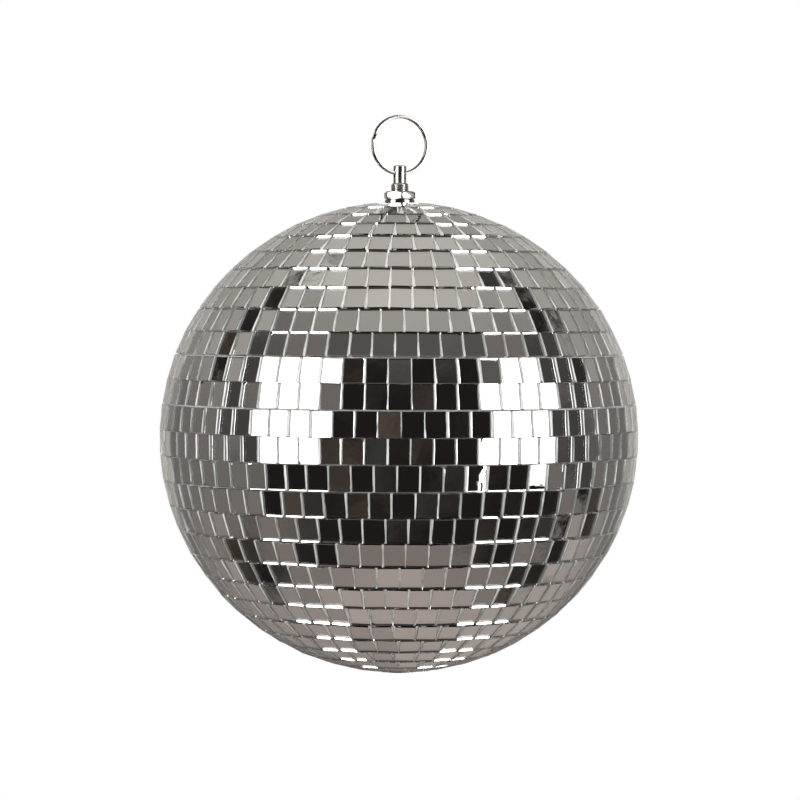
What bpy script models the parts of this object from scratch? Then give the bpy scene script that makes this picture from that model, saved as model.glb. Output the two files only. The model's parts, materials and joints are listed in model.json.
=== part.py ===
"""Mirror ball, 200 mm across, on a swivel pin with a split ring.

The glass comes in strips: each row of tiles is one strip of mirror squares on a woven backing, bent into a
faceted band and glued round a hollow two-piece plastic core. A threaded bush is clamped through the core's
crown by two thin hexagon nuts. A pin turns in the bush, and a split ring passes through the pin's cross hole.

Units are metres, +Z is up and +X runs along the cross hole. The origin is where a hook bears on the ring:
the inside of the ring at its top.
"""

import math

import bmesh
import bpy
from mathutils import Matrix

# Driving dimensions of the ball.
POLAR_RADIUS = 0.0990          # ball centre to the face of a tile, along the ball's axis
EQUATOR_STRETCH = 1.0157       # the ball is this much wider than it is tall
ROW_PITCH_DEG = 6.2            # one strip of tiles and its joint
ROWS_EACH_SIDE = 13            # strips above and below the middle one
MIDDLE_ROW_DEG = -1.0          # the middle strip is laid just under the moulding's seam
TILE_PITCH = 0.00907           # one tile and its joint, along the strip
ROW_JOINT = 0.0006             # open joint between two strips
STRIP_THICKNESS = 0.0016       # 1.3 mm glass on 0.3 mm woven backing
GLUE_LINE = 0.0004             # from the strip's back to the core

# Core.
CORE_RADIUS = POLAR_RADIUS - STRIP_THICKNESS - GLUE_LINE
CORE_WALL = 0.0022
CORE_SEGMENTS = 40
CORE_ARC_STEPS = 8             # from the seam to the crown
LAP_HEIGHT = 0.004             # the lower shell's lip stands inside the upper shell
LAP_GAP = 0.0002
CROWN_BOSS_RADIUS = 0.0118
CROWN_BOSS_TOP = 0.0966
CROWN_BOSS_UNDER = 0.0916

# Hanger, as heights above the ball's centre.
FACE_GAP = 0.0001              # between two faces that are clamped or rest together
CROWN_WASHER_RADIUS = 0.0063
CROWN_WASHER_THICKNESS = 0.0015
INNER_WASHER_RADIUS = 0.008
THRUST_WASHER_RADIUS = 0.0042
WASHER_THICKNESS = 0.001
NUT_THICKNESS = 0.0035
NUT_ACROSS_FLATS = 0.012
NUT_CHAMFER = 0.0007
NUT_SEGMENTS = 24
TOP_NUT_TURN_DEG = 18.0
INNER_NUT_TURN_DEG = 12.0
THREAD_RADIUS = 0.0036
THREAD_HOLE_RADIUS = 0.0038
BUSH_BORE_RADIUS = 0.0022
BUSH_TOP = 0.1069
BUSH_BOTTOM = 0.084
ROUND_SEGMENTS = 32
PIN_SHANK_RADIUS = 0.00212
PIN_HEAD_RADIUS = 0.0027
PIN_TOP = 0.1144
PIN_TOP_ROUNDING = 0.0006
PIN_BOTTOM = 0.0805
CLIP_THICKNESS = 0.0008
CLIP_GROOVE_RADIUS = 0.0016
CLIP_OUTER_RADIUS = 0.00368
CLIP_OPENING_DEG = 100.0
CLIP_STEPS = 20
CROSS_HOLE_RADIUS = 0.0015
CROSS_HOLE_SEGMENTS = 24

# Split ring.
RING_OUTER_RADIUS = 0.0127
RING_STRAND_WIDTH = 0.0014     # along the ring's radius
RING_STRAND_THICKNESS = 0.0008
RING_STRAND_GAP = 0.0001
RING_JOG_AT_DEG = 167.0        # where the wire steps from the front turn to the back one
RING_JOG_SPAN_DEG = 22.0
RING_END_GAP_DEG = 2.0
RING_STEPS_PER_TURN = 40
RING_STRAND_HEIGHT = 0.1110    # of the strand in the cross hole, above the ball's centre
CROSS_HOLE_DROP = 0.0001       # the hole's middle is this far under the strand's

RING_MEAN_RADIUS = RING_OUTER_RADIUS - RING_STRAND_WIDTH / 2
RING_CENTRE = RING_STRAND_HEIGHT + RING_MEAN_RADIUS
BALL_CENTRE_Z = -(RING_CENTRE + RING_OUTER_RADIUS - RING_STRAND_WIDTH)
CROSS_HOLE_HEIGHT = RING_STRAND_HEIGHT - CROSS_HOLE_DROP

# Stack heights that follow from the ones above.
CAP_TOP = CROWN_BOSS_TOP + FACE_GAP + STRIP_THICKNESS
WASHER_BOTTOM = CAP_TOP + FACE_GAP
TOP_NUT_BOTTOM = WASHER_BOTTOM + CROWN_WASHER_THICKNESS + FACE_GAP
INNER_WASHER_TOP = CROWN_BOSS_UNDER - FACE_GAP
INNER_NUT_TOP = INNER_WASHER_TOP - WASHER_THICKNESS - FACE_GAP
THRUST_WASHER_TOP = BUSH_BOTTOM - FACE_GAP
CLIP_TOP = THRUST_WASHER_TOP - WASHER_THICKNESS - FACE_GAP

CHROME = ("chrome", (0.80, 0.80, 0.80), 0.12, 1.0)
ZINC = ("zinc", (0.62, 0.62, 0.60), 0.30, 1.0)
SILVERED_GLASS = ("silvered_glass", (0.88, 0.89, 0.88), 0.02, 1.0)
CORE_PLASTIC = ("core_plastic", (0.82, 0.82, 0.80), 0.45, 0.0)


def clear_scene():
    for item in list(bpy.data.objects):
        bpy.data.objects.remove(item, do_unlink=True)


def add_empty(name, parent, height):
    made = bpy.data.objects.new(name, None)
    bpy.context.scene.collection.objects.link(made)
    made.parent = parent
    made.location = (0, 0, height)
    return made


def material(name, colour, roughness, metallic):
    made = bpy.data.materials.get(name)
    if made is None:
        made = bpy.data.materials.new(name)
        made.use_nodes = True
        shader = made.node_tree.nodes["Principled BSDF"]
        shader.inputs["Base Color"].default_value = (*colour, 1.0)
        shader.inputs["Roughness"].default_value = roughness
        shader.inputs["Metallic"].default_value = metallic
    return made


def add_object(name, bm, finish, parent, smooth_angle_deg=30.0):
    """A named object made from the bmesh, placed under parent."""
    bmesh.ops.recalc_face_normals(bm, faces=bm.faces)
    if bm.calc_volume(signed=True) < 0:
        bmesh.ops.reverse_faces(bm, faces=bm.faces)
    mesh = bpy.data.meshes.new(name)
    bm.to_mesh(mesh)
    bm.free()
    mesh.shade_smooth()
    mesh.set_sharp_from_angle(angle=math.radians(smooth_angle_deg))
    mesh.materials.append(material(*finish))
    made = bpy.data.objects.new(name, mesh)
    bpy.context.scene.collection.objects.link(made)
    made.parent = parent
    return made


def spun(profile, segments, phase_deg=0.0):
    """A bmesh turned about Z from a closed profile of (radius, height) points."""
    bm = bmesh.new()
    points = [bm.verts.new((radius, 0.0, height)) for radius, height in profile]
    edges = [bm.edges.new((a, b)) for a, b in zip(points, points[1:] + points[:1])]
    bmesh.ops.spin(
        bm, geom=points + edges, cent=(0, 0, 0), axis=(0, 0, 1),
        angle=2 * math.pi, steps=segments, use_merge=True, use_duplicate=False,
    )
    bmesh.ops.remove_doubles(bm, verts=bm.verts, dist=1e-6)
    loose = [edge for edge in bm.edges if not edge.link_faces]
    bmesh.ops.delete(bm, geom=loose, context="EDGES")
    bm.transform(Matrix.Rotation(math.radians(phase_deg), 4, "Z"))
    return bm


def skin_rows(bm, rows):
    """A closed skin over rows of vertices, each row one section of the shape."""
    count = len(rows[0])
    for near, far in zip(rows, rows[1:]):
        for i in range(count):
            bm.faces.new((near[i], near[(i + 1) % count], far[(i + 1) % count], far[i]))
    bm.faces.new(rows[0])
    bm.faces.new(rows[-1])


def rectangle(inner, outer, bottom, top):
    return [(inner, bottom), (outer, bottom), (outer, top), (inner, top)]


def arc(polar_radius, from_deg, to_deg, steps):
    """Points of the ball's flattened curve, as (radius, height), by latitude."""
    for i in range(steps + 1):
        angle = math.radians(from_deg + (to_deg - from_deg) * i / steps)
        yield EQUATOR_STRETCH * polar_radius * math.cos(angle), polar_radius * math.sin(angle)


def latitude_deg(polar_radius, radius):
    """Where the flattened curve of that polar radius is that far from the axis."""
    return math.degrees(math.acos(radius / (EQUATOR_STRETCH * polar_radius)))


def strip_of_tiles(row, parent):
    """One faceted band: as many flat faces as it has tiles, each touching the ball's own curve."""
    latitude = math.radians(MIDDLE_ROW_DEG + ROW_PITCH_DEG * row)
    ring_radius = EQUATOR_STRETCH * POLAR_RADIUS * math.cos(latitude)
    ring_height = POLAR_RADIUS * math.sin(latitude)
    slope = math.hypot(EQUATOR_STRETCH * math.sin(latitude), math.cos(latitude))
    lean, rise = EQUATOR_STRETCH * math.sin(latitude) / slope, math.cos(latitude) / slope
    tiles = round(2 * math.pi * ring_radius / TILE_PITCH)
    half_height = (POLAR_RADIUS * math.radians(ROW_PITCH_DEG) - ROW_JOINT) / 2
    corner_reach = 1 / math.cos(math.pi / tiles)
    # A band's corners stand outside its flats, so the side away from the pole stops short by as much.
    trim = ring_radius * (corner_reach - 1) * abs(lean)
    north, south = half_height, -half_height + trim
    if lean < 0:
        north, south = half_height - trim, -half_height
    profile = []
    for depth, along in (
        (0, south), (0, north), (STRIP_THICKNESS, north), (STRIP_THICKNESS, south),
    ):
        radius = ring_radius - depth * rise - along * lean
        height = ring_height - depth * lean + along * rise
        profile.append((radius * corner_reach, height))
    number = ROWS_EACH_SIDE - row + 1
    band = spun(profile, tiles, phase_deg=90.0 + 180.0 * (number % 2) / tiles)
    return add_object(f"mirror_row_{number:02d}", band, SILVERED_GLASS, parent, smooth_angle_deg=1.0)


def core_upper_shell(parent):
    inner = CORE_RADIUS - CORE_WALL
    lap = EQUATOR_STRETCH * (CORE_RADIUS - CORE_WALL / 2) + LAP_GAP / 2
    boss_deg = latitude_deg(CORE_RADIUS, CROWN_BOSS_RADIUS)
    under_deg = latitude_deg(inner, CROWN_BOSS_RADIUS)
    lap_deg = math.degrees(math.asin((LAP_HEIGHT + LAP_GAP) / inner))
    seam_deg = math.degrees(math.asin(LAP_GAP / CORE_RADIUS))
    profile = [(lap, LAP_GAP)]
    profile += arc(CORE_RADIUS, seam_deg, boss_deg, CORE_ARC_STEPS)
    profile += [(CROWN_BOSS_RADIUS, CROWN_BOSS_TOP), (THREAD_HOLE_RADIUS, CROWN_BOSS_TOP)]
    profile += [(THREAD_HOLE_RADIUS, CROWN_BOSS_UNDER), (CROWN_BOSS_RADIUS, CROWN_BOSS_UNDER)]
    profile += arc(inner, under_deg, lap_deg, CORE_ARC_STEPS)
    profile += [(lap, LAP_HEIGHT + LAP_GAP)]
    return add_object("core_upper_shell", spun(profile, CORE_SEGMENTS), CORE_PLASTIC, parent)


def core_lower_shell(parent):
    inner = CORE_RADIUS - CORE_WALL
    lap = EQUATOR_STRETCH * (CORE_RADIUS - CORE_WALL / 2) - LAP_GAP / 2
    lip = EQUATOR_STRETCH * inner
    profile = list(arc(CORE_RADIUS, -90.0, 0.0, CORE_ARC_STEPS))
    profile += [(lap, 0.0), (lap, LAP_HEIGHT), (lip, LAP_HEIGHT)]
    profile += arc(inner, 0.0, -90.0, CORE_ARC_STEPS)
    return add_object("core_lower_shell", spun(profile, CORE_SEGMENTS), CORE_PLASTIC, parent)


def cap_radius(row):
    """The radius of the round mirror that fills the hole left by a strip next to a pole."""
    edge_deg = abs(MIDDLE_ROW_DEG + ROW_PITCH_DEG * row) + ROW_PITCH_DEG / 2
    return (POLAR_RADIUS - STRIP_THICKNESS) * math.cos(math.radians(edge_deg)) - ROW_JOINT / 2


def crown_cap_mirror(parent):
    """A round mirror on the crown's boss, with a hole for the bush."""
    profile = rectangle(
        THREAD_HOLE_RADIUS, cap_radius(ROWS_EACH_SIDE), CAP_TOP - STRIP_THICKNESS, CAP_TOP
    )
    return add_object("crown_cap_mirror", spun(profile, ROUND_SEGMENTS), SILVERED_GLASS, parent)


def bottom_cap_mirror(parent):
    """A round mirror over the bottom pole, inside the last strip."""
    profile = rectangle(
        0.0, cap_radius(-ROWS_EACH_SIDE), -POLAR_RADIUS, STRIP_THICKNESS - POLAR_RADIUS
    )
    return add_object("bottom_cap_mirror", spun(profile, ROUND_SEGMENTS), SILVERED_GLASS, parent)


def hexagon_nut(name, bottom, phase_deg, parent):
    """A thin hexagon nut: a turned blank with both faces chamfered, cut to six flats."""
    corner_radius = NUT_ACROSS_FLATS / math.sqrt(3)
    flat_radius = NUT_ACROSS_FLATS / 2
    top = bottom + NUT_THICKNESS
    profile = [
        (THREAD_HOLE_RADIUS, bottom), (flat_radius, bottom), (corner_radius, bottom + NUT_CHAMFER / 2),
        (corner_radius, top - NUT_CHAMFER / 2), (flat_radius, top), (THREAD_HOLE_RADIUS, top),
    ]
    bm = spun(profile, NUT_SEGMENTS)
    for side in range(6):
        angle = math.radians(60 * side + 30)
        normal = (math.cos(angle), math.sin(angle), 0)
        cut = bmesh.ops.bisect_plane(
            bm, geom=bm.verts[:] + bm.edges[:] + bm.faces[:], dist=1e-7,
            plane_co=[flat_radius * value for value in normal], plane_no=normal, clear_outer=True,
        )
        rim = [item for item in cut["geom_cut"] if isinstance(item, bmesh.types.BMEdge)]
        bmesh.ops.contextual_create(bm, geom=rim)
    bm.transform(Matrix.Rotation(math.radians(phase_deg), 4, "Z"))
    return add_object(name, bm, CHROME, parent)


def turned_part(name, profile, finish, parent):
    return add_object(name, spun(profile, ROUND_SEGMENTS), finish, parent)


def swivel_pin(swing_axis):
    """The pin turns in the bush: a shank with a clip groove, and a head with a cross hole for the ring."""
    groove_bottom = CLIP_TOP - CLIP_THICKNESS - FACE_GAP
    groove_top = CLIP_TOP + FACE_GAP
    shoulder = BUSH_TOP + FACE_GAP
    profile = [
        (0, PIN_BOTTOM), (PIN_SHANK_RADIUS, PIN_BOTTOM), (PIN_SHANK_RADIUS, groove_bottom),
        (CLIP_GROOVE_RADIUS, groove_bottom), (CLIP_GROOVE_RADIUS, groove_top),
        (PIN_SHANK_RADIUS, groove_top), (PIN_SHANK_RADIUS, shoulder), (PIN_HEAD_RADIUS, shoulder),
        (PIN_HEAD_RADIUS, PIN_TOP - PIN_TOP_ROUNDING),
        (PIN_HEAD_RADIUS - 0.3 * PIN_TOP_ROUNDING, PIN_TOP - 0.3 * PIN_TOP_ROUNDING),
        (PIN_HEAD_RADIUS - PIN_TOP_ROUNDING, PIN_TOP), (0, PIN_TOP),
    ]
    pin = turned_part("swivel_pin", profile, CHROME, swing_axis)
    pin.location = (0, 0, -CROSS_HOLE_HEIGHT)
    drill = bpy.data.objects.new("cross_hole_drill", bpy.data.meshes.new("cross_hole_drill"))
    bpy.context.scene.collection.objects.link(drill)
    bm = bmesh.new()
    bmesh.ops.create_cone(
        bm, cap_ends=True, segments=CROSS_HOLE_SEGMENTS,
        radius1=CROSS_HOLE_RADIUS, radius2=CROSS_HOLE_RADIUS,
        depth=4 * PIN_HEAD_RADIUS, matrix=Matrix.Rotation(math.radians(90), 4, "Y"),
    )
    bm.to_mesh(drill.data)
    bm.free()
    drill.parent = swing_axis
    drill.hide_render = True
    drill.display_type = "WIRE"
    cut = pin.modifiers.new("cross_hole", "BOOLEAN")
    cut.operation = "DIFFERENCE"
    cut.object = drill
    return pin


def retaining_clip(swing_axis):
    """An open spring clip in the pin's groove, under the thrust washer."""
    inner = CLIP_GROOVE_RADIUS + FACE_GAP
    profile = rectangle(inner, CLIP_OUTER_RADIUS, CLIP_TOP - CLIP_THICKNESS, CLIP_TOP)
    bm = bmesh.new()
    rows = []
    for i in range(CLIP_STEPS + 1):
        angle = math.radians(CLIP_OPENING_DEG / 2 + (360.0 - CLIP_OPENING_DEG) * i / CLIP_STEPS)
        rows.append([
            bm.verts.new((radius * math.cos(angle), radius * math.sin(angle), height))
            for radius, height in profile
        ])
    skin_rows(bm, rows)
    clip = add_object("retaining_clip", bm, ZINC, swing_axis)
    clip.location = (0, 0, -CROSS_HOLE_HEIGHT)
    return clip


def split_ring():
    """Two turns of flat wire in one piece, stepping from the front turn to the back one."""
    half_width, half_thickness = RING_STRAND_WIDTH / 2, RING_STRAND_THICKNESS / 2
    turn_offset = (RING_STRAND_THICKNESS + RING_STRAND_GAP) / 2
    corner = 0.35 * half_thickness
    section = [
        (half_width, -half_thickness + corner), (half_width, half_thickness - corner),
        (half_width - corner, half_thickness), (corner - half_width, half_thickness),
        (-half_width, half_thickness - corner), (-half_width, corner - half_thickness),
        (corner - half_width, -half_thickness), (half_width - corner, -half_thickness),
    ]
    half_jog = RING_JOG_SPAN_DEG / 2
    half_gap = RING_END_GAP_DEG / 2
    start = RING_JOG_AT_DEG + half_jog + half_gap
    wound_deg = 720.0 - RING_JOG_SPAN_DEG - RING_END_GAP_DEG
    steps = round(RING_STEPS_PER_TURN * wound_deg / 360.0)
    bm = bmesh.new()
    rows = []
    for i in range(steps + 1):
        turned_deg = wound_deg * i / steps
        past_jog = turned_deg - (360.0 - half_jog - half_gap) + half_jog
        share = min(1.0, max(0.0, past_jog / RING_JOG_SPAN_DEG))
        share = share * share * (3 - 2 * share)
        depth = turn_offset * (2 * share - 1)
        angle = math.radians(start + turned_deg)
        rows.append([
            bm.verts.new((
                (RING_MEAN_RADIUS + across) * math.cos(angle),
                depth + along,
                (RING_MEAN_RADIUS + across) * math.sin(angle),
            ))
            for across, along in section
        ])
    skin_rows(bm, rows)
    ring = add_object("split_ring", bm, CHROME, None, smooth_angle_deg=50.0)
    ring.location = (0, 0, BALL_CENTRE_Z + RING_CENTRE)
    return ring


def main():
    clear_scene()
    swing_axis = add_empty("swing_axis", None, BALL_CENTRE_Z + CROSS_HOLE_HEIGHT)
    ball = add_empty("ball_centre", swing_axis, -CROSS_HOLE_HEIGHT)

    for row in range(ROWS_EACH_SIDE, -ROWS_EACH_SIDE - 1, -1):
        strip_of_tiles(row, ball)
    crown_cap_mirror(ball)
    bottom_cap_mirror(ball)
    core_upper_shell(ball)
    core_lower_shell(ball)

    turned_part(
        "crown_washer",
        rectangle(
            THREAD_HOLE_RADIUS, CROWN_WASHER_RADIUS, WASHER_BOTTOM, WASHER_BOTTOM + CROWN_WASHER_THICKNESS
        ),
        CHROME, ball,
    )
    hexagon_nut("top_hex_nut", TOP_NUT_BOTTOM, TOP_NUT_TURN_DEG, ball)
    turned_part(
        "threaded_bush", rectangle(BUSH_BORE_RADIUS, THREAD_RADIUS, BUSH_BOTTOM, BUSH_TOP), CHROME, ball,
    )
    turned_part(
        "inner_washer",
        rectangle(
            THREAD_HOLE_RADIUS, INNER_WASHER_RADIUS, INNER_WASHER_TOP - WASHER_THICKNESS, INNER_WASHER_TOP
        ),
        ZINC, ball,
    )
    hexagon_nut("inner_lock_nut", INNER_NUT_TOP - NUT_THICKNESS, INNER_NUT_TURN_DEG, ball)
    turned_part(
        "thrust_washer",
        rectangle(
            BUSH_BORE_RADIUS, THRUST_WASHER_RADIUS, THRUST_WASHER_TOP - WASHER_THICKNESS, THRUST_WASHER_TOP
        ),
        ZINC, ball,
    )
    retaining_clip(swing_axis)
    swivel_pin(swing_axis)
    split_ring()


main()
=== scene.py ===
"""The looks of the hanging mirror ball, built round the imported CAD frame.

Every strip of the CAD is replaced by separate glass tiles with silvered backs, and by the white backing
and glue that show between them. The hanger's pieces are replaced by finer ones: a threaded bush, a
chamfered nut, a drilled pin and a two-turn split ring. The studio is a room that only reflections see, two
softboxes and a pale floor.

Lengths are metres, in the CAD's own frame: +Z up, +X along the pin's cross hole.
"""

import json
import math
import random

import bmesh
import bpy
from mathutils import Matrix, Vector


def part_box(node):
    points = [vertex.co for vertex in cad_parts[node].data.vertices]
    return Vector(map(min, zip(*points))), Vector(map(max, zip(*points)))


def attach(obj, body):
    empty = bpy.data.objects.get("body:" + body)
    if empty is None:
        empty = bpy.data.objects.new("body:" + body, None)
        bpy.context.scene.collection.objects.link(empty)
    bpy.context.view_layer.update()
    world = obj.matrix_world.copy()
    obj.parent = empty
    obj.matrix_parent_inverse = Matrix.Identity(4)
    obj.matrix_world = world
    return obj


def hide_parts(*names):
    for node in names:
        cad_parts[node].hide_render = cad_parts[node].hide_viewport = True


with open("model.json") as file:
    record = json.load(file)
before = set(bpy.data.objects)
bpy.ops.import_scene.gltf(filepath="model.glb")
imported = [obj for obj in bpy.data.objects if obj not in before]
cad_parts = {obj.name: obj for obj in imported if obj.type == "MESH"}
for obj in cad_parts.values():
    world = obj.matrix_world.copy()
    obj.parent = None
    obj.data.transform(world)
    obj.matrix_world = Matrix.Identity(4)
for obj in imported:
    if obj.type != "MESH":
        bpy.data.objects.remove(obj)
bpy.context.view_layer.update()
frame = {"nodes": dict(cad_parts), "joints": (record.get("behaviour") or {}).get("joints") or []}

# The ball, as the CAD lays it out.
POLAR_RADIUS = 0.0990
EQUATOR_STRETCH = 1.0157
ROW_PITCH_DEG = 6.2
ROWS_EACH_SIDE = 13
MIDDLE_ROW_DEG = -1.0
TILE_PITCH = 0.00907
BALL_CENTRE = Vector((0, 0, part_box("bottom_cap_mirror")[0].z + POLAR_RADIUS))

# Glass tiles.
TILE_SEED = 20
GLASS_THICKNESS = 0.0013
TILE_WIDTH = 0.00842
TILE_HEIGHT = 0.01025
LEAST_JOINT = 0.00028
EDGE_CHAMFER = 0.00007
WIDTH_SPREAD = 0.00022
HEIGHT_SPREAD = 0.00006
SHIFT_SPREAD = 0.00013
SINK_SPREAD = 0.00004
MOST_SINK = 0.0001
TURN_SPREAD_DEG = 0.55
TILT_SPREAD_DEG = 0.8
STRAY_SHARE = 0.06
STRAY_TILT_DEG = 2.0
MOST_TILT_DEG = 2.6
CHIP_SHARE = 0.05
KINK_SPREAD = 0.00007
MOST_KINK = 0.00013
KINKS_ALONG = (0.33, 0.67)
KINK_WANDER = 0.1
CORNER_NIPS = (0.00008, 0.0002)
CORNER_CHIPS = (0.0005, 0.0011)
NIP_UNEVENNESS = (0.75, 1.25)
ROW_WANDER_DEG = 0.12

# How finely the turned pieces are cut.
ROUND_SEGMENTS = 64
NUT_SEGMENTS = 96
CROSS_HOLE_SEGMENTS = 48

# Backing and glue.
BACKING_DEPTH = 0.00176
BACKING_THICKNESS = 0.0002
GLUE_CLEARANCE = 0.00002
BACKING_FLATS = 96
BACKING_MARGIN = 0.0002
GLUE_DEPTHS = (0.0001, 0.0004)
GLUE_HOLLOWS = (0.00003, 0.00022)

# How dark the clouds in the plating are beside its clear places.
PLATING_CLOUD_SHADE = 0.86

# The hanger, as the CAD lays it out.
THREAD_HOLE_RADIUS = 0.0038
WASHER_FILLET = 0.0002
NUT_FLAT_RADIUS = 0.006
NUT_TURN_DEG = 18.0
NUT_CONE_RISE = 0.0006
NUT_CONE_START = 0.0002
NUT_HOLE_CHAMFER = 0.0003
NUT_EDGE_BEVEL = 0.0003
BUSH_BORE_RADIUS = 0.0022
THREAD_PITCH = 0.00085
THREAD_DEPTH = 0.00034
THREAD_CREST = 0.00018
THREAD_SHARPNESS = 1.3
THREAD_LEAD = 0.0003
THREAD_RUN_OUT = 0.0004
THREAD_RUN_OUT_DROP = 0.0002
PIN_SHANK_RADIUS = 0.00212
PIN_TOP_ROUNDING = 0.0007
PIN_FOOT_CHAMFER = 0.0003
CLIP_GROOVE_RADIUS = 0.0016
FACE_GAP = 0.0001
CROSS_HOLE_RADIUS = 0.0015
CROSS_HOLE_MOUTH = 0.0003
RING_STRAND_WIDTH = 0.0014
RING_STRAND_THICKNESS = 0.0008
RING_STRAND_GAP = 0.00006
RING_JOG_AT_DEG = 163.5
RING_JOG_SPAN_DEG = 21.0
RING_END_GAP_DEG = 1.5
RING_STEPS_PER_TURN = 128
RING_END_SHRINK = 0.86

# Camera and studio. Azimuth 0 looks along +Y, and a positive one moves the camera towards +X. The studio is
# laid out about this azimuth, and stays where it is when the ball is seen from elsewhere.
CAMERA_AZIMUTH_DEG = -20.0
CAMERA_ELEVATION_DEG = 2.45
CAMERA_DISTANCE = 1.2
CAMERA_LENS_MM = 127.8
CAMERA_ROLL_DEG = 0.2
AIM_ABOVE_CENTRE = 0.0156
AIM_TO_THE_RIGHT = 0.0004
SOFTBOX_DISTANCE = 1.5
SOFTBOX_RADIANCE = 6.0
FLOOR_DROP = 1.1
FLOOR_RADIUS = 4.0
FLOOR_PALES_BETWEEN = (0.15, 0.85)
FLOOR_LEAST_PALE = 0.75


def direction(azimuth_deg, elevation_deg):
    """The unit vector from the ball towards a camera at that azimuth and elevation."""
    azimuth, elevation = math.radians(azimuth_deg), math.radians(elevation_deg)
    return Vector((
        math.sin(azimuth) * math.cos(elevation),
        -math.cos(azimuth) * math.cos(elevation),
        math.sin(elevation),
    ))


# ---------------------------------------------------------------- materials


class Nodes:
    """Short calls for a material's or a world's node tree."""

    def __init__(self, tree):
        self.tree = tree

    def add(self, kind, **settings):
        node = self.tree.nodes.new(kind)
        for name, value in settings.items():
            setattr(node, name, value)
        return node

    def put(self, socket, value):
        if isinstance(value, bpy.types.NodeSocket):
            self.tree.links.new(value, socket)
        else:
            socket.default_value = value

    def math(self, operation, *values):
        node = self.add("ShaderNodeMath", operation=operation)
        for socket, value in zip(node.inputs, values):
            self.put(socket, value)
        return node.outputs[0]

    def times(self, *values):
        return self.math("MULTIPLY", *values)

    def ramp(self, value, low, high, start=0.0, end=1.0):
        """start where the value is low, end where it is high, and a smooth step between them.

        low may be the larger of the two.
        """
        node = self.add("ShaderNodeMapRange", interpolation_type="SMOOTHSTEP")
        for name, given in (
            ("Value", value), ("From Min", low), ("From Max", high), ("To Min", start), ("To Max", end),
        ):
            self.put(node.inputs[name], given)
        return node.outputs["Result"]

    def mix(self, share, a, b):
        node = self.add("ShaderNodeMix", data_type="RGBA")
        for socket, value in ((node.inputs[0], share), (node.inputs[6], a), (node.inputs[7], b)):
            self.put(socket, value)
        return node.outputs[2]

    def noise(self, scale, detail=3.0, roughness=0.5, vector=None):
        node = self.add("ShaderNodeTexNoise")
        for name, value in (("Scale", scale), ("Detail", detail), ("Roughness", roughness)):
            self.put(node.inputs[name], value)
        if vector is not None:
            self.put(node.inputs["Vector"], vector)
        return node.outputs["Fac"]

    def bump(self, height, strength, distance):
        node = self.add("ShaderNodeBump")
        for name, value in (("Height", height), ("Strength", strength), ("Distance", distance)):
            self.put(node.inputs[name], value)
        return node.outputs["Normal"]

    def object_position(self):
        return self.add("ShaderNodeTexCoord").outputs["Object"]

    def patch(self, *bands):
        """1 where every band's value lies between its low and its high, and 0 elsewhere.

        A band is (value, low, high, softness of its edges).
        """
        edges = []
        for value, low, high, softness in bands:
            edges.append(self.ramp(value, low - softness, low))
            edges.append(self.ramp(value, high + softness, high))
        shape = edges[0]
        for edge in edges[1:]:
            shape = self.times(shape, edge)
        return shape


def principled(name, **inputs):
    """A material with one Principled shader, and the helper for its nodes."""
    made = bpy.data.materials.new(name)
    made.use_nodes = True
    shader = made.node_tree.nodes["Principled BSDF"]
    for key, value in inputs.items():
        shader.inputs[key.replace("_", " ")].default_value = value
    return made, Nodes(made.node_tree), shader


def clear_glass():
    made, _, _ = principled(
        "clear_glass", Base_Color=(0.972, 0.985, 0.975, 1), Roughness=0.0, IOR=1.52, Transmission_Weight=1.0,
    )
    return made


def silvering():
    """Silver under the glass: a mirror with the faint unevenness of thin sheet glass."""
    made, nodes, shader = principled(
        "silvering", Base_Color=(0.925, 0.915, 0.90, 1), Roughness=0.0, Metallic=1.0,
    )
    waves = nodes.noise(scale=160.0, detail=2.0, vector=nodes.object_position())
    nodes.put(shader.inputs["Normal"], nodes.bump(waves, strength=0.35, distance=0.00002))
    return made


def wetted_edge():
    """The side of a tile that the white glue has wetted, seen through the glass."""
    made, _, _ = principled("wetted_edge", Base_Color=(0.84, 0.87, 0.85, 1), Roughness=0.4)
    return made


def white_glue():
    """Dried white glue over woven tape: uneven, with a soft shine."""
    made, nodes, shader = principled("white_glue", Roughness=0.42)
    where = nodes.object_position()
    blotches = nodes.noise(scale=420.0, detail=4.0, vector=where)
    colour = nodes.mix(blotches, (0.86, 0.86, 0.85, 1), (0.95, 0.95, 0.94, 1))
    nodes.put(shader.inputs["Base Color"], colour)
    grain = nodes.noise(scale=1500.0, vector=where)
    nodes.put(shader.inputs["Normal"], nodes.bump(grain, strength=0.5, distance=0.0001))
    return made


def plated(name, colour, roughness, grain_scale):
    """Bright plating: faint clouds that are darker and smoother, and a fine grain."""
    made, nodes, shader = principled(name, Metallic=1.0)
    where = nodes.object_position()
    cloud = nodes.noise(scale=260.0, detail=4.0, vector=where)
    clouded = tuple(PLATING_CLOUD_SHADE * value for value in colour)
    smooth, dull = roughness
    nodes.put(shader.inputs["Base Color"], nodes.mix(cloud, (*clouded, 1), (*colour, 1)))
    nodes.put(shader.inputs["Roughness"], nodes.ramp(cloud, 0.3, 0.75, start=smooth, end=dull))
    grain = nodes.noise(scale=grain_scale, detail=2.0, vector=where)
    nodes.put(shader.inputs["Normal"], nodes.bump(grain, strength=0.25, distance=0.00002))
    return made


def moulded_plastic():
    made, nodes, shader = principled("moulded_plastic")
    where = nodes.object_position()
    mottle = nodes.noise(scale=90.0, detail=4.0, vector=where)
    colour = nodes.mix(mottle, (0.74, 0.74, 0.72, 1), (0.84, 0.84, 0.82, 1))
    nodes.put(shader.inputs["Base Color"], colour)
    nodes.put(shader.inputs["Roughness"], nodes.ramp(mottle, 0.3, 0.7, start=0.4, end=0.55))
    grain = nodes.noise(scale=2200.0, vector=where)
    nodes.put(shader.inputs["Normal"], nodes.bump(grain, strength=0.3, distance=0.00005))
    return made


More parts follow.
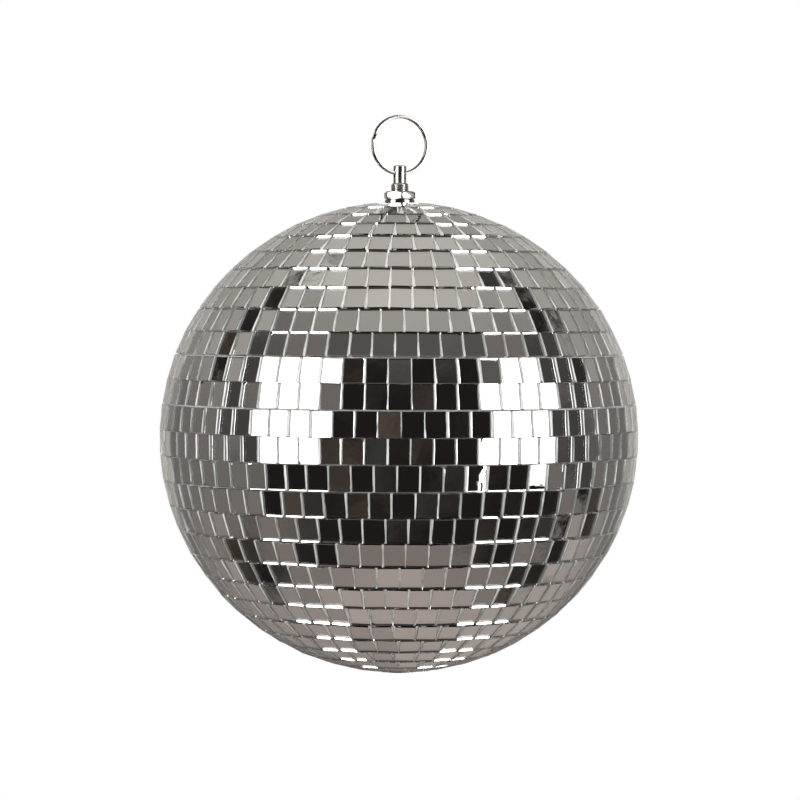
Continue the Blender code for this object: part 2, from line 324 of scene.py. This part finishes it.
GLASS = clear_glass()
SILVER = silvering()
EDGE = wetted_edge()
GLUE = white_glue()
CHROME = plated("chrome_plate", (0.58, 0.565, 0.54), roughness=(0.09, 0.17), grain_scale=1800.0)
TURNED = plated("turned_nickel", (0.60, 0.585, 0.56), roughness=(0.17, 0.26), grain_scale=1500.0)
WIRE = plated("drawn_wire", (0.40, 0.38, 0.355), roughness=(0.16, 0.26), grain_scale=1300.0)
ZINC = plated("zinc_plate", (0.66, 0.66, 0.63), roughness=(0.24, 0.4), grain_scale=1200.0)
PLASTIC = moulded_plastic()

# A mirror's materials, and the places of its silvered back and its wetted sides among them.
MIRROR = (GLASS, SILVER, EDGE)
SILVERED, WETTED = 1, 2


# ---------------------------------------------------------------- mesh helpers


def add_piece(name, bm, materials, body, replaced=()):
    """A mesh object from the bmesh, riding on its CAD body."""
    mesh = bpy.data.meshes.new(name)
    bm.to_mesh(mesh)
    bm.free()
    for item in materials:
        mesh.materials.append(item)
    piece = bpy.data.objects.new(name, mesh)
    bpy.context.scene.collection.objects.link(piece)
    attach(piece, body)
    if replaced:
        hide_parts(*replaced)
    return piece


def outward(bm):
    bmesh.ops.recalc_face_normals(bm, faces=bm.faces)
    if bm.calc_volume(signed=True) < 0:
        bmesh.ops.reverse_faces(bm, faces=bm.faces)


def shade(bm, sharp_deg):
    """Smooth faces, with edges over sharp_deg left sharp."""
    for face in bm.faces:
        face.smooth = True
    for edge in bm.edges:
        edge.smooth = edge.calc_face_angle(math.pi) < math.radians(sharp_deg)


def skin_rings(bm, rings, closed=False):
    """Quads between neighbouring rings of vertices.

    The ends are capped, unless the last ring joins up with the first.
    """
    count = len(rings[0])
    pairs = list(zip(rings, rings[1:]))
    if closed:
        pairs.append((rings[-1], rings[0]))
    for near, far in pairs:
        for i in range(count):
            bm.faces.new((near[i], near[(i + 1) % count], far[(i + 1) % count], far[i]))
    if not closed:
        bm.faces.new(rings[0])
        bm.faces.new(rings[-1])


def turned(profile, segments):
    """A closed profile of (radius, height) points turned about the ball's vertical axis."""
    bm = bmesh.new()
    rings = []
    for i in range(segments):
        angle = 2 * math.pi * i / segments
        rings.append([
            bm.verts.new((radius * math.cos(angle), radius * math.sin(angle), height))
            for radius, height in profile
        ])
    skin_rings(bm, rings, closed=True)
    bmesh.ops.remove_doubles(bm, verts=bm.verts, dist=1e-7)
    outward(bm)
    return bm


def rounded_profile(inner, outer, bottom, top, fillet, steps=3):
    """A washer's section: a rectangle with its two outer corners rounded."""
    points = [(inner, bottom)]
    for corner_z, start in ((bottom + fillet, -90), (top - fillet, 0)):
        for i in range(steps + 1):
            angle = math.radians(start + 90 * i / steps)
            points.append((
                outer - fillet + fillet * math.cos(angle),
                corner_z + fillet * math.sin(angle),
            ))
    points.append((inner, top))
    return points


# ---------------------------------------------------------------- tiles


def held(value, most):
    """The value, kept within that much of nought."""
    return max(-most, min(most, value))


def axes_at(latitude):
    """How far level and how far up the ball's outward direction points there, as parts of one."""
    slope = math.hypot(math.cos(latitude), EQUATOR_STRETCH * math.sin(latitude))
    return math.cos(latitude) / slope, EQUATOR_STRETCH * math.sin(latitude) / slope


def tile_outline(rng, pole_width, far_width, height):
    """Twelve points round one tile.

    Its corners are nipped off a little, or chipped, and its upright sides, which were snapped by hand, bend
    at two points each.
    """
    corners = [
        (-far_width / 2, -height / 2), (far_width / 2, -height / 2),
        (pole_width / 2, height / 2), (-pole_width / 2, height / 2),
    ]
    points = []
    for i, (x, y) in enumerate(corners):
        before, after = corners[i - 1], corners[(i + 1) % 4]
        nip = rng.uniform(*CORNER_NIPS)
        if rng.random() < CHIP_SHARE:
            nip = rng.uniform(*CORNER_CHIPS)
        for nx, ny in (before, after):
            length = math.hypot(nx - x, ny - y)
            share = nip * rng.uniform(*NIP_UNEVENNESS) / length
            points.append((x + (nx - x) * share, y + (ny - y) * share))
        if i in (1, 3):
            for along in KINKS_ALONG:
                share = along + rng.uniform(-KINK_WANDER, KINK_WANDER)
                kink = held(rng.gauss(0, KINK_SPREAD), MOST_KINK)
                points.append((x + (after[0] - x) * share + kink, y + (after[1] - y) * share))
    return points


def inset(points, distance):
    """The outline drawn in towards its middle."""
    result = []
    for x, y in points:
        reach = math.hypot(x, y)
        share = 1 - distance * math.sqrt(2) / reach
        result.append((x * share, y * share))
    return result


# The outline's points down each upright side, from the pole's end.
EAST_SIDE = (6, 5, 4, 3)
WEST_SIDE = (9, 10, 11, 0)


class Tile:
    """One tile's place on the ball: its own axes, and its outline in them.

    The outline's points run from the lower left corner, with two to a corner and two to each upright side.
    """

    def __init__(self, rng, latitude, longitude, pole_width, far_width, height):
        self.southern = latitude < 0
        level, rise = axes_at(latitude)
        facing = Vector((math.cos(longitude), math.sin(longitude), 0))
        outward_axis = facing * level + Vector((0, 0, rise))
        east = Vector((-math.sin(longitude), math.cos(longitude), 0))
        north = outward_axis.cross(east)
        tilt = STRAY_TILT_DEG if rng.random() < STRAY_SHARE else TILT_SPREAD_DEG
        turn = Matrix.Rotation(math.radians(rng.gauss(0, TURN_SPREAD_DEG)), 3, outward_axis)
        lean_deg, yaw_deg = (held(rng.gauss(0, tilt), MOST_TILT_DEG) for _ in range(2))
        lean = Matrix.Rotation(math.radians(lean_deg), 3, east)
        yaw = Matrix.Rotation(math.radians(yaw_deg), 3, north)
        spin = turn @ lean @ yaw
        self.out, self.east = spin @ outward_axis, spin @ east
        self.pole = spin @ (-north if self.southern else north)
        sink = min(MOST_SINK, abs(rng.gauss(0, SINK_SPREAD)))
        on_ball = Vector((0, 0, POLAR_RADIUS * math.sin(latitude)))
        on_ball += facing * EQUATOR_STRETCH * POLAR_RADIUS * math.cos(latitude)
        self.centre = BALL_CENTRE + on_ball - outward_axis * sink
        self.outline = tile_outline(rng, pole_width, far_width, height)

    def at(self, x, y, depth):
        return self.centre + self.east * x + self.pole * y - self.out * depth

    def add_to(self, bm):
        front = [bm.verts.new(self.at(x, y, 0)) for x, y in inset(self.outline, EDGE_CHAMFER)]
        rim = [bm.verts.new(self.at(x, y, EDGE_CHAMFER)) for x, y in self.outline]
        back = [bm.verts.new(self.at(x, y, GLASS_THICKNESS)) for x, y in self.outline]
        faces = [bm.faces.new(front)]
        count = len(front)
        for i in range(count):
            after = (i + 1) % count
            faces.append(bm.faces.new((front[i], rim[i], rim[after], front[after])))
            side = bm.faces.new((rim[i], back[i], back[after], rim[after]))
            (x0, y0), (x1, y1) = self.outline[i], self.outline[after]
            upright = abs(y1 - y0) > 2 * abs(x1 - x0)
            side.material_index = WETTED if upright else 0
            faces.append(side)
        behind = bm.faces.new(reversed(back))
        behind.material_index = SILVERED
        faces.append(behind)
        if self.southern:
            bmesh.ops.reverse_faces(bm, faces=faces)

    def side_line(self, side, depth):
        """Points down the tile's east (side 1) or west (side -1) edge, from the pole's end."""
        places = EAST_SIDE if side > 0 else WEST_SIDE
        return [self.at(*self.outline[place], depth) for place in places]


def row_tiles(rng, row):
    """The tiles of one strip, round the ball.

    Near a pole they are cut narrower on the pole's side, to fit.
    """
    wander = rng.uniform(-ROW_WANDER_DEG, ROW_WANDER_DEG)
    latitude = math.radians(MIDDLE_ROW_DEG + ROW_PITCH_DEG * row + wander)
    radius = EQUATOR_STRETCH * POLAR_RADIUS * math.cos(latitude)
    count = round(2 * math.pi * radius / TILE_PITCH)
    reach = TILE_HEIGHT / 2 * abs(math.sin(latitude))
    back_share = 1 - GLASS_THICKNESS / POLAR_RADIUS
    pitches = [2 * math.pi * (radius * back_share + end) / count for end in (-reach, reach)]
    start = rng.uniform(0, 2 * math.pi)
    tiles = []
    for i in range(count):
        width = TILE_WIDTH + rng.gauss(0, WIDTH_SPREAD)
        pole_width, far_width = (min(width, pitch - LEAST_JOINT) for pitch in pitches)
        height = TILE_HEIGHT + rng.gauss(0, HEIGHT_SPREAD)
        spare = pitches[0] - pole_width - LEAST_JOINT
        shift = held(rng.gauss(0, SHIFT_SPREAD), spare / 2)
        longitude = start + 2 * math.pi * i / count + shift / radius
        tiles.append(Tile(rng, latitude, longitude, pole_width, far_width, height))
    return tiles


def add_glue(bm, rng, tile, following):
    """The ridge of glue between two neighbouring tiles, hollow along its middle."""
    depth = rng.uniform(*GLUE_DEPTHS)
    floor_depth = BACKING_DEPTH + BACKING_THICKNESS / 2
    tops = (tile.side_line(1, depth), following.side_line(-1, depth))
    bottoms = (tile.side_line(1, floor_depth), following.side_line(-1, floor_depth))
    rings = []
    for i in range(len(tops[0])):
        left, right = tops[0][i], tops[1][i]
        across = (right - left).normalized() * GLUE_CLEARANCE
        left, right = left + across, right - across
        low_left, low_right = bottoms[0][i] + across, bottoms[1][i] - across
        hollow = -tile.out * rng.uniform(*GLUE_HOLLOWS)
        middle = (left + right) / 2 + hollow
        rings.append([bm.verts.new(point) for point in (left, middle, right, low_right, low_left)])
    skin_rings(bm, rings)


def add_backing(bm, row):
    """The woven tape behind one strip: a thin faceted band."""
    latitude = math.radians(MIDDLE_ROW_DEG + ROW_PITCH_DEG * row)
    half_height = math.radians(ROW_PITCH_DEG) * POLAR_RADIUS / 2 - BACKING_MARGIN
    level, rise = axes_at(latitude)
    middle_radius = EQUATOR_STRETCH * POLAR_RADIUS * math.cos(latitude)
    profile = []
    for depth, along in ((0, -1), (0, 1), (1, 1), (1, -1)):
        inwards = BACKING_DEPTH + depth * BACKING_THICKNESS
        profile.append((
            middle_radius - inwards * level - along * half_height * rise,
            POLAR_RADIUS * math.sin(latitude) - inwards * rise + along * half_height * level,
        ))
    rings = []
    for i in range(BACKING_FLATS):
        angle = 2 * math.pi * i / BACKING_FLATS
        rings.append([
            bm.verts.new(BALL_CENTRE + Vector((radius * math.cos(angle), radius * math.sin(angle), height)))
            for radius, height in profile
        ])
    skin_rings(bm, rings, closed=True)


def mirror_rows():
    """The strips from the crown down: the tiles of each are one piece, its glue and backing another."""
    rng = random.Random(TILE_SEED)
    for row in range(ROWS_EACH_SIDE, -ROWS_EACH_SIDE - 1, -1):
        number = ROWS_EACH_SIDE - row + 1
        node = f"mirror_row_{number:02d}"
        tiles = row_tiles(rng, row)
        glass = bmesh.new()
        for tile in tiles:
            tile.add_to(glass)
        add_piece(f"tiles_row_{number:02d}", glass, MIRROR, "ball", (node,))
        glue = bmesh.new()
        add_backing(glue, row)
        for tile, following in zip(tiles, tiles[1:] + tiles[:1]):
            add_glue(glue, rng, tile, following)
        bmesh.ops.recalc_face_normals(glue, faces=glue.faces)
        add_piece(f"glue_row_{number:02d}", glue, (GLUE,), "ball")


def cap_mirror(node, face_up):
    """A round mirror at a pole: a glass disc with a chamfered rim, silvered at its back."""
    low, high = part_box(node)
    outer = (high.x - low.x) / 2
    inner = THREAD_HOLE_RADIUS if face_up else 0.0
    inwards = -1 if face_up else 1
    front = high.z if face_up else low.z
    back = front + inwards * GLASS_THICKNESS
    bm = turned([
        (inner, back), (outer, back), (outer, front + inwards * EDGE_CHAMFER),
        (outer - EDGE_CHAMFER, front), (inner, front),
    ], ROUND_SEGMENTS)
    for face in bm.faces:
        if all(abs(vert.co.z - back) < 1e-6 for vert in face.verts):
            face.material_index = SILVERED
    add_piece(f"{node}_glass", bm, MIRROR[:2], "ball", (node,))


# ---------------------------------------------------------------- hanger


def crown_washer():
    low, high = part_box("crown_washer")
    profile = rounded_profile(THREAD_HOLE_RADIUS, high.x, low.z, high.z, WASHER_FILLET)
    bm = turned(profile, ROUND_SEGMENTS)
    shade(bm, sharp_deg=40)
    add_piece("crown_washer_plated", bm, (CHROME,), "ball", ("crown_washer",))


def bounds_a_flat(edge):
    """Whether the edge bounds one of the nut's six flats, on the nut's outside."""
    upright, least_area, outside = 0.01, 1e-6, 0.95 * NUT_FLAT_RADIUS
    beside_flat = any(
        abs(face.normal.z) < upright and face.calc_area() > least_area for face in edge.link_faces
    )
    return beside_flat and all(vert.co.xy.length > outside for vert in edge.verts)


def hexagon_nut():
    """A turned blank, coned at both ends and cut to six flats, with the flats' edges taken off."""
    low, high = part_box("top_hex_nut")
    corner_radius = NUT_FLAT_RADIUS / math.cos(math.radians(30))
    cone_radius = NUT_FLAT_RADIUS - NUT_CONE_START
    bm = turned([
        (THREAD_HOLE_RADIUS, low.z), (cone_radius, low.z), (corner_radius, low.z + NUT_CONE_RISE),
        (corner_radius, high.z - NUT_CONE_RISE), (cone_radius, high.z),
        (THREAD_HOLE_RADIUS + NUT_HOLE_CHAMFER, high.z), (THREAD_HOLE_RADIUS, high.z - NUT_HOLE_CHAMFER),
    ], NUT_SEGMENTS)
    for side in range(6):
        angle = math.radians(60 * side + 30 + NUT_TURN_DEG)
        normal = Vector((math.cos(angle), math.sin(angle), 0))
        cut = bmesh.ops.bisect_plane(
            bm, geom=bm.verts[:] + bm.edges[:] + bm.faces[:], dist=1e-8,
            plane_co=normal * NUT_FLAT_RADIUS, plane_no=normal, clear_outer=True,
        )
        rim = [item for item in cut["geom_cut"] if isinstance(item, bmesh.types.BMEdge)]
        bmesh.ops.contextual_create(bm, geom=rim)
    edges = [edge for edge in bm.edges if bounds_a_flat(edge)]
    bmesh.ops.bevel(bm, geom=edges, offset=NUT_EDGE_BEVEL, segments=2, profile=0.5, affect="EDGES")
    outward(bm)
    shade(bm, sharp_deg=35)
    add_piece("top_hex_nut_plated", bm, (CHROME,), "ball", ("top_hex_nut",))


def circle(bm, radius, height, count):
    """Vertices in a level circle about the ball's vertical axis."""
    return [
        bm.verts.new((
            radius * math.cos(2 * math.pi * i / count), radius * math.sin(2 * math.pi * i / count), height,
        ))
        for i in range(count)
    ]


def threaded_bush():
    """A tube with a rolled thread, which runs out just under its top face."""
    low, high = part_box("threaded_bush")
    around, per_turn = 48, 8
    step = THREAD_PITCH / per_turn
    levels = int((high.z - low.z - THREAD_LEAD - THREAD_RUN_OUT) / step)
    bm = bmesh.new()
    rings = [circle(bm, BUSH_BORE_RADIUS, low.z, around)]
    for level in range(levels + 1):
        ring = []
        height = low.z + THREAD_LEAD + level * step
        fade = min(1.0, (high.z - THREAD_RUN_OUT - height) / THREAD_RUN_OUT)
        for i in range(around):
            turn = i / around
            phase = ((height - low.z) / THREAD_PITCH - turn) % 1.0
            groove = THREAD_DEPTH * abs(2 * phase - 1) ** THREAD_SHARPNESS
            radius = high.x + THREAD_CREST - groove - (1 - fade) * THREAD_RUN_OUT_DROP
            ring.append(bm.verts.new((
                radius * math.cos(2 * math.pi * turn), radius * math.sin(2 * math.pi * turn), height,
            )))
        rings.append(ring)
    rings.append(circle(bm, high.x - THREAD_RUN_OUT, high.z, around))
    rings.append(circle(bm, BUSH_BORE_RADIUS, high.z, around))
    skin_rings(bm, rings, closed=True)
    outward(bm)
    shade(bm, sharp_deg=50)
    add_piece("threaded_bush_plated", bm, (TURNED,), "ball", ("threaded_bush",))


def pin_profile():
    """The pin's half section: foot, clip groove, shank, shoulder and rounded head."""
    low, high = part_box("swivel_pin")
    head, shank, chamfer = high.x, PIN_SHANK_RADIUS, PIN_FOOT_CHAMFER
    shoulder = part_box("threaded_bush")[1].z + FACE_GAP
    groove_low, groove_high = (
        corner.z + side * FACE_GAP for corner, side in zip(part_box("retaining_clip"), (-1, 1))
    )
    profile = [
        (0, low.z), (shank - chamfer, low.z), (shank, low.z + chamfer), (shank, groove_low),
        (CLIP_GROOVE_RADIUS, groove_low), (CLIP_GROOVE_RADIUS, groove_high), (shank, groove_high),
        (shank, shoulder), (head - FACE_GAP, shoulder), (head, shoulder + FACE_GAP),
    ]
    steps = 6
    for i in range(steps + 1):
        angle = math.radians(90 * i / steps)
        profile.append((
            head + PIN_TOP_ROUNDING * (math.cos(angle) - 1),
            high.z + PIN_TOP_ROUNDING * (math.sin(angle) - 1),
        ))
    profile.append((0, high.z))
    return profile


def cross_hole_cutter(head):
    """A drill along X, with a countersink that reaches out past each side of a head of that radius."""
    hole, mouth, bulge = CROSS_HOLE_RADIUS, CROSS_HOLE_MOUTH, 0.00001
    height = next(joint["pos_m"][2] for joint in frame["joints"] if joint["name"] == "ring_swing")
    bm = turned([
        (0, -2 * head), (hole + head, -2 * head + bulge), (hole + mouth, -head), (hole, mouth - head),
        (hole, head - mouth), (hole + mouth, head), (hole + head, 2 * head - bulge), (0, 2 * head),
    ], CROSS_HOLE_SEGMENTS)
    bm.transform(Matrix.Translation((0, 0, height)) @ Matrix.Rotation(math.radians(90), 4, "Y"))
    mesh = bpy.data.meshes.new("cross_hole_cutter")
    bm.to_mesh(mesh)
    bm.free()
    made = bpy.data.objects.new("cross_hole_cutter", mesh)
    bpy.context.scene.collection.objects.link(made)
    return made


def drilled_pin():
    """The pin, its top edge rounded and its cross hole countersunk at both mouths."""
    bm = turned(pin_profile(), ROUND_SEGMENTS)
    pin = add_piece("swivel_pin_plated", bm, (TURNED,), "pin", ("swivel_pin",))
    cutter = cross_hole_cutter(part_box("swivel_pin")[1].x)
    cut = pin.modifiers.new("cross_hole", "BOOLEAN")
    cut.operation = "DIFFERENCE"
    cut.object = cutter
    bpy.context.view_layer.objects.active = pin
    with bpy.context.temp_override(object=pin, active_object=pin):
        bpy.ops.object.modifier_apply(modifier=cut.name)
    bpy.data.objects.remove(cutter)
    bm = bmesh.new()
    bm.from_mesh(pin.data)
    shade(bm, sharp_deg=35)
    bm.to_mesh(pin.data)
    bm.free()


def softened(value):
    """A sine or cosine with its curve squared off, for a wire with rounded corners."""
    return abs(value) ** 0.5 * math.copysign(1, value)


def split_ring():
    """Two turns of drawn wire with rounded edges, which step over each other and end in plain cuts."""
    low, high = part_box("split_ring")
    centre_z = (high.z + low.z) / 2
    mean = (high.x - low.x) / 2 - RING_STRAND_WIDTH / 2
    turn_offset = (RING_STRAND_THICKNESS + RING_STRAND_GAP) / 2
    half_jog, half_gap = RING_JOG_SPAN_DEG / 2, RING_END_GAP_DEG / 2
    wound = 720.0 - RING_JOG_SPAN_DEG - RING_END_GAP_DEG
    steps = round(RING_STEPS_PER_TURN * wound / 360)
    around = 16
    bm = bmesh.new()
    rings = []
    for i in range(steps + 1):
        turned_deg = wound * i / steps
        past_jog = turned_deg - (360.0 - half_jog - half_gap) + half_jog
        share = min(1.0, max(0.0, past_jog / RING_JOG_SPAN_DEG))
        share = share * share * (3 - 2 * share)
        depth = turn_offset * (2 * share - 1)
        angle = math.radians(RING_JOG_AT_DEG + half_jog + half_gap + turned_deg)
        shrink = RING_END_SHRINK if i in (0, steps) else 1.0
        ring = []
        for k in range(around):
            a = 2 * math.pi * k / around
            radius = mean + softened(math.cos(a)) * RING_STRAND_WIDTH / 2 * shrink
            along = softened(math.sin(a)) * RING_STRAND_THICKNESS / 2 * shrink
            ring.append(bm.verts.new((
                radius * math.cos(angle), depth + along, centre_z + radius * math.sin(angle),
            )))
        rings.append(ring)
    skin_rings(bm, rings)
    outward(bm)
    shade(bm, sharp_deg=60)
    add_piece("split_ring_wire", bm, (WIRE,), "ring", ("split_ring",))


def finish_cad_nodes():
    """The pieces inside the ball keep their CAD shape."""
    for name, finish in (
        ("core_upper_shell", PLASTIC), ("core_lower_shell", PLASTIC), ("inner_washer", ZINC),
        ("inner_lock_nut", ZINC), ("thrust_washer", ZINC), ("retaining_clip", ZINC),
    ):
        slots = frame["nodes"][name].data.materials
        slots.clear()
        slots.append(finish)


# ---------------------------------------------------------------- studio


def add_camera():
    data = bpy.data.cameras.new("camera")
    data.lens = CAMERA_LENS_MM
    camera = bpy.data.objects.new("camera", data)
    bpy.context.scene.collection.objects.link(camera)
    camera.location = BALL_CENTRE + direction(CAMERA_AZIMUTH_DEG, CAMERA_ELEVATION_DEG) * CAMERA_DISTANCE
    to_the_right = direction(CAMERA_AZIMUTH_DEG + 90.0, 0.0) * AIM_TO_THE_RIGHT
    aim = BALL_CENTRE + Vector((0, 0, AIM_ABOVE_CENTRE)) + to_the_right - camera.location
    look = aim.to_track_quat("-Z", "Y").to_matrix()
    camera.rotation_euler = (look @ Matrix.Rotation(math.radians(CAMERA_ROLL_DEG), 3, "Z")).to_euler()
    bpy.context.scene.camera = camera


def add_softbox(name, side_deg, width_deg, low_deg, high_deg):
    """An upright area light that fills those angles, as the ball sees it."""
    towards = direction(CAMERA_AZIMUTH_DEG + side_deg, 0)
    low, high = (SOFTBOX_DISTANCE * math.tan(math.radians(value)) for value in (low_deg, high_deg))
    data = bpy.data.lights.new(name, "AREA")
    data.shape = "RECTANGLE"
    data.size = 2 * SOFTBOX_DISTANCE * math.tan(math.radians(width_deg / 2))
    data.size_y = high - low
    data.energy = SOFTBOX_RADIANCE * math.pi * data.size * data.size_y
    light = bpy.data.objects.new(name, data)
    bpy.context.scene.collection.objects.link(light)
    light.location = BALL_CENTRE + towards * SOFTBOX_DISTANCE + Vector((0, 0, (low + high) / 2))
    light.rotation_euler = (-towards).to_track_quat("-Z", "Y").to_euler()
    light.visible_camera = False


class Around:
    """Directions from the ball, as node outputs, in the studio's own fixed layout.

    side is in degrees to the right of CAMERA_AZIMUTH_DEG, height in degrees above level, and towards_camera
    is 1 straight along that azimuth and -1 straight away from it.
    """

    def __init__(self, nodes):
        turn = nodes.add("ShaderNodeVectorRotate", rotation_type="Z_AXIS")
        nodes.put(turn.inputs["Vector"], nodes.add("ShaderNodeTexCoord").outputs["Generated"])
        nodes.put(turn.inputs["Angle"], math.radians(-CAMERA_AZIMUTH_DEG))
        self.vector = turn.outputs[0]
        parts = nodes.add("ShaderNodeSeparateXYZ")
        nodes.put(parts.inputs[0], self.vector)
        self.towards_camera = nodes.times(parts.outputs["Y"], -1.0)
        in_degrees = 180 / math.pi
        side = nodes.math("ARCTAN2", parts.outputs["X"], self.towards_camera)
        self.side = nodes.times(side, in_degrees)
        self.height = nodes.times(nodes.math("ARCSINE", parts.outputs["Z"]), in_degrees)


def walls_and_ceiling(nodes, around):
    """Grey walls, paler towards the ceiling, with a pale backdrop behind the ball."""
    height = around.height
    walls = (0.165, 0.150, 0.142, 1)
    ceiling = nodes.mix(nodes.ramp(height, 58.0, 66.0), (0.34, 0.325, 0.305, 1), (0.56, 0.53, 0.49, 1))
    near = nodes.mix(nodes.ramp(height, 46.0, 54.0), walls, ceiling)
    far = nodes.mix(nodes.ramp(height, 6.0, 24.0), walls, (0.37, 0.35, 0.325, 1))
    far = nodes.mix(nodes.ramp(height, 32.0, 66.0), far, (0.52, 0.495, 0.46, 1))
    room = nodes.mix(nodes.ramp(around.towards_camera, 0.05, -0.13), near, far)
    backdrop = nodes.patch((around.towards_camera, -1.1, -0.86, 0.1), (height, -6.0, 26.0, 8.0))
    return nodes.mix(backdrop, room, (0.56, 0.535, 0.505, 1))


def ground(nodes, around):
    """The floor, paler right under the ball and behind it."""
    near = nodes.mix(
        nodes.ramp(around.height, -60.0, -74.0), (0.205, 0.176, 0.165, 1), (0.42, 0.36, 0.335, 1))
    far = nodes.mix(nodes.ramp(around.side, 60.0, 110.0), (0.33, 0.285, 0.265, 1), (0.44, 0.385, 0.36, 1))
    return nodes.mix(nodes.ramp(around.towards_camera, -0.16, -0.34), near, far)


def stands(nodes, around, clutter):
    """The stands and frames beside the softboxes, broken up by clutter."""
    left = nodes.patch((around.side, -92.0, -70.0, 3.0), (around.height, -10.0, 36.0, 3.0))
    right = nodes.patch((around.side, 74.0, 104.0, 4.0), (around.height, -12.0, 38.0, 3.0))
    return nodes.times(nodes.math("MAXIMUM", left, right), nodes.ramp(clutter, 0.36, 0.5))


def dark_bay(nodes, around, clutter):
    """The dark round the camera, with its low sides, an arch over the ball and two flanks."""
    side, height = around.side, around.height
    broken = nodes.ramp(clutter, 0.43, 0.49)
    low_sides = nodes.patch((side, -66.0, 76.0, 8.0), (height, -53.0, -13.0, 2.5))
    arch = nodes.patch((around.towards_camera, -0.32, -0.18, 0.03), (height, 19.0, 62.0, 5.0))
    left_flank = nodes.patch((side, -122.0, -92.0, 4.0), (height, -50.0, -30.0, 3.0))
    right_flank = nodes.patch((side, 80.0, 124.0, 4.0), (height, -53.0, -17.0, 2.0))
    dark = nodes.patch((side, -34.0, 42.0, 3.0), (height, -53.0, 35.0, 2.5))
    for shape in (low_sides, nodes.times(broken, arch), left_flank, nodes.times(broken, right_flank)):
        dark = nodes.math("MAXIMUM", dark, shape)
    return dark


def add_world():
    """White where the camera looks past the ball. Reflections see a grey room with a dark bay."""
    world = bpy.data.worlds.new("studio")
    bpy.context.scene.world = world
    world.use_nodes = True
    nodes = Nodes(world.node_tree)
    around = Around(nodes)
    clutter = nodes.noise(scale=9.0, detail=4.0, roughness=0.6, vector=around.vector)
    warmth = nodes.noise(scale=5.0, detail=2.0, vector=around.vector)
    cloud = nodes.noise(scale=3.0, vector=around.vector)

    room = walls_and_ceiling(nodes, around)
    room = nodes.mix(nodes.ramp(around.height, -12.0, -34.0), room, ground(nodes, around))
    room = nodes.mix(nodes.ramp(cloud, 0.25, 0.75, start=0.0, end=0.3), room, (0.12, 0.105, 0.10, 1))
    over_camera = nodes.patch((around.side, -42.0, 52.0, 6.0), (around.height, 30.0, 48.0, 4.0))
    room = nodes.mix(over_camera, room, (0.09, 0.085, 0.08, 1))
    room = nodes.mix(stands(nodes, around, clutter), room, (0.055, 0.052, 0.05, 1))
    tone = nodes.mix(nodes.ramp(warmth, 0.4, 0.65), (0.040, 0.040, 0.039, 1), (0.085, 0.062, 0.050, 1))
    tone = nodes.mix(nodes.ramp(clutter, 0.46, 0.68), (0.013, 0.011, 0.010, 1), tone)
    room = nodes.mix(dark_bay(nodes, around, clutter), room, tone)

    seen = nodes.add("ShaderNodeLightPath").outputs["Is Camera Ray"]
    background = world.node_tree.nodes["Background"]
    nodes.put(background.inputs["Color"], nodes.mix(seen, room, (1, 1, 1, 1)))


def add_floor():
    """A pale floor that pales to the white of the backdrop at its rim. Only the camera sees it."""
    bm = bmesh.new()
    bmesh.ops.create_circle(bm, cap_ends=True, segments=96, radius=FLOOR_RADIUS)
    mesh = bpy.data.meshes.new("floor")
    bm.to_mesh(mesh)
    bm.free()
    made, nodes, shader = principled("floor_paint", Base_Color=(0.86, 0.86, 0.85, 1), Roughness=0.8)
    distance = nodes.add("ShaderNodeVectorMath", operation="LENGTH")
    nodes.put(distance.inputs[0], nodes.object_position())
    pale = nodes.add("ShaderNodeEmission")
    blend = nodes.add("ShaderNodeMixShader")
    near, far = (share * FLOOR_RADIUS for share in FLOOR_PALES_BETWEEN)
    share = nodes.ramp(distance.outputs["Value"], near, far, start=FLOOR_LEAST_PALE, end=1.0)
    nodes.put(blend.inputs[0], share)
    nodes.put(blend.inputs[1], shader.outputs[0])
    nodes.put(blend.inputs[2], pale.outputs[0])
    output = made.node_tree.nodes["Material Output"]
    nodes.put(output.inputs["Surface"], blend.outputs[0])
    mesh.materials.append(made)
    floor = bpy.data.objects.new("floor", mesh)
    bpy.context.scene.collection.objects.link(floor)
    floor.location = BALL_CENTRE - Vector((0, 0, FLOOR_DROP))
    for kind in ("diffuse", "glossy", "transmission", "shadow"):
        setattr(floor, f"visible_{kind}", False)


mirror_rows()
cap_mirror("crown_cap_mirror", face_up=True)
cap_mirror("bottom_cap_mirror", face_up=False)
crown_washer()
hexagon_nut()
threaded_bush()
drilled_pin()
split_ring()
finish_cad_nodes()
add_camera()
add_softbox("softbox_left", side_deg=-54.5, width_deg=34.0, low_deg=-12.5, high_deg=36.0)
add_softbox("softbox_right", side_deg=58.5, width_deg=33.0, low_deg=-16.0, high_deg=31.0)
add_world()
add_floor()
bpy.context.scene.view_settings.view_transform = "Standard"
